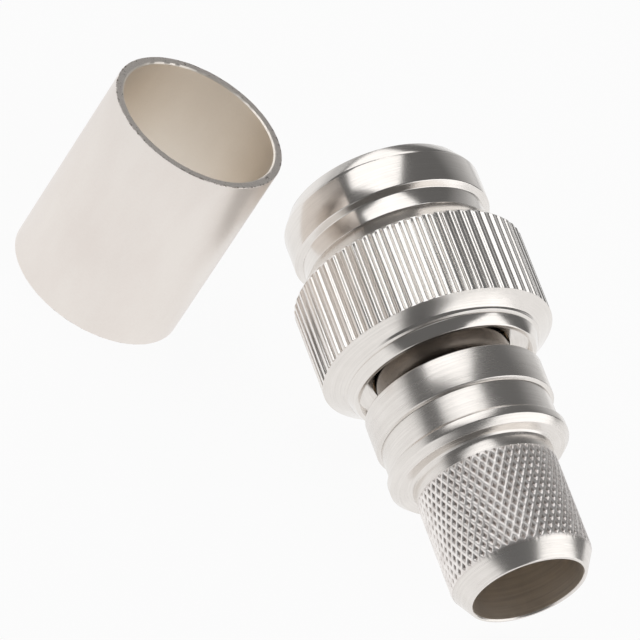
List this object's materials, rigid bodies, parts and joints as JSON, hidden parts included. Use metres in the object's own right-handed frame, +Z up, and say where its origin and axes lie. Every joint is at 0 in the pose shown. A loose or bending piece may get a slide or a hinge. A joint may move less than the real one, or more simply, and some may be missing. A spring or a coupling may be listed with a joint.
{
  "type": "tnc plug",
  "caption": "Crimp coaxial plug with a knurled threaded coupling nut, a stepped body and a cross-knurled cable stem, lying beside its plain crimp sleeve.",
  "frame": {"origin": "bottom centre of the box around the plug and its sleeve, on the table", "axes": "+Z up from the table, +X along the plug towards the cable end, -Y towards the viewer and the sleeve"},
  "size_m": [0.037, 0.0302, 0.0163],
  "materials": {
    "nickel": "turned brass with bright nickel plate",
    "satin_nickel": "drawn tube with dull nickel plate",
    "bronze": "spring bronze",
    "gold": "gold plate",
    "ptfe": "waxy white",
    "silicone": "matt"
  },
  "bodies": {
    "plug": {"main_body": "nickel", "outer_contact": "nickel", "gasket": "silicone", "front_insulator": "ptfe", "center_contact": "gold", "rear_insulator": "ptfe", "crimp_stem": "nickel", "crimp_sleeve": "satin_nickel"},
    "ring": {"retaining_ring": "bronze"},
    "nut": {"coupling_nut": "nickel"}
  },
  "joints": [
    {"name": "nut_float", "type": "slide", "parent": "plug", "child": "ring", "axis": [-0.9825, 0, 0.1864], "range_m": [0, 0.0004]},
    {"name": "nut_spin", "type": "hinge", "parent": "ring", "child": "nut", "pos_m": [-0.00021, 0.00732, 0.00774], "axis": [0.9825, 0, -0.1864], "continuous": true}
  ]
}
